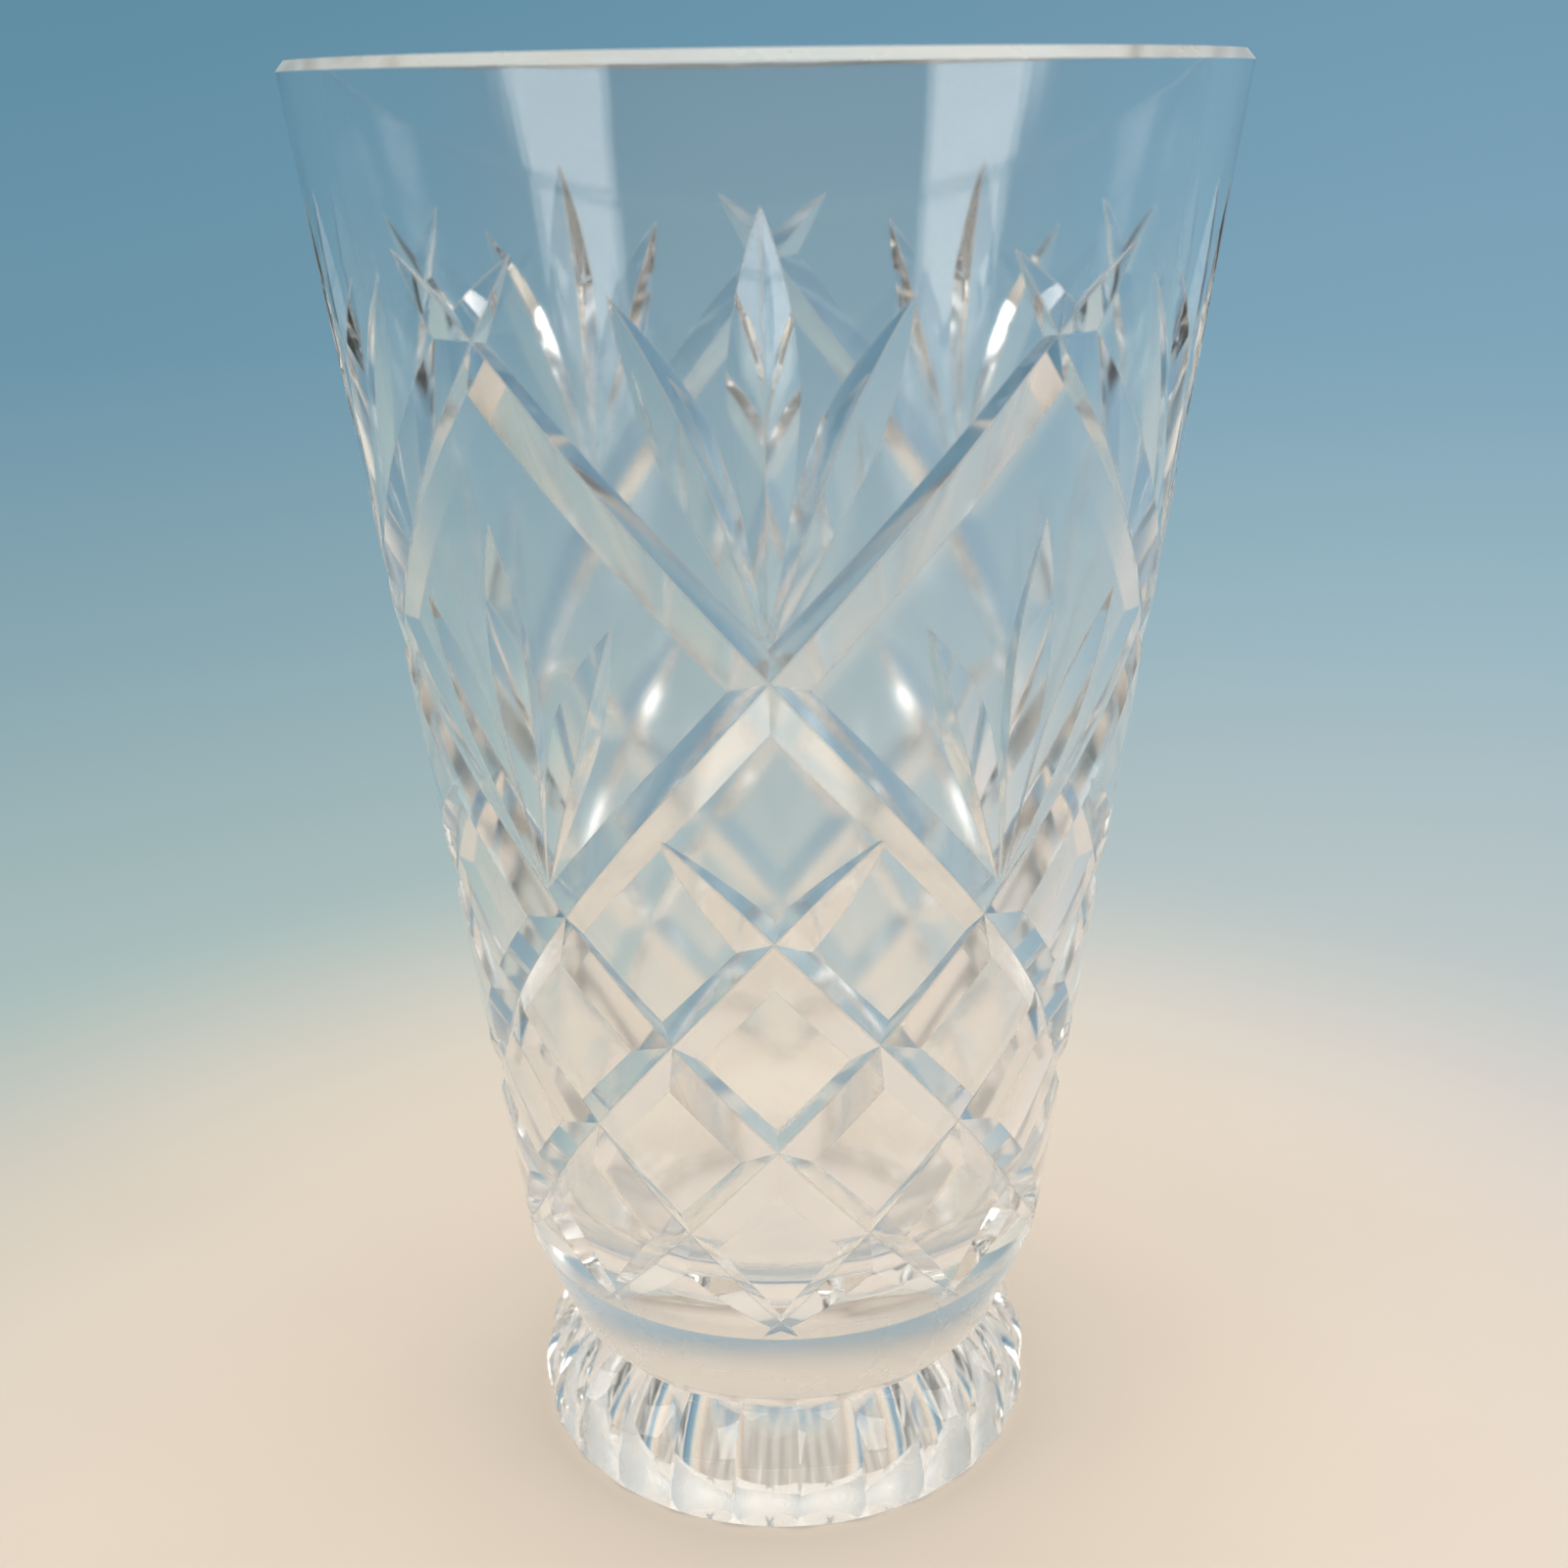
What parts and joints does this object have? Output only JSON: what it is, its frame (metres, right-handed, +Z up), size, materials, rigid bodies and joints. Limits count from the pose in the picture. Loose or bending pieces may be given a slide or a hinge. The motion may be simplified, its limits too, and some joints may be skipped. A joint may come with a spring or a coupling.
{
  "type": "cut glass vase",
  "caption": "Tall tapering open-topped vase with a mitre-cut diamond lattice and leaf fans, standing on a thick fluted round foot; holds cut flowers and water.",
  "frame": {"origin": "centre of the resting face under the foot", "axes": "+Z up along the vase's axis, -Y towards the front, where a leaf fan stands above a lattice crossing"},
  "size_m": [0.1544, 0.1544, 0.254],
  "materials": {
    "crystal": "polished clear colourless crystal, wheel-cut facets polished bright",
    "crystal_foot": "polished clear colourless crystal, thick section"
  },
  "bodies": {
    "root": {"bowl": "crystal", "foot": "crystal_foot"}
  },
  "joints": []
}
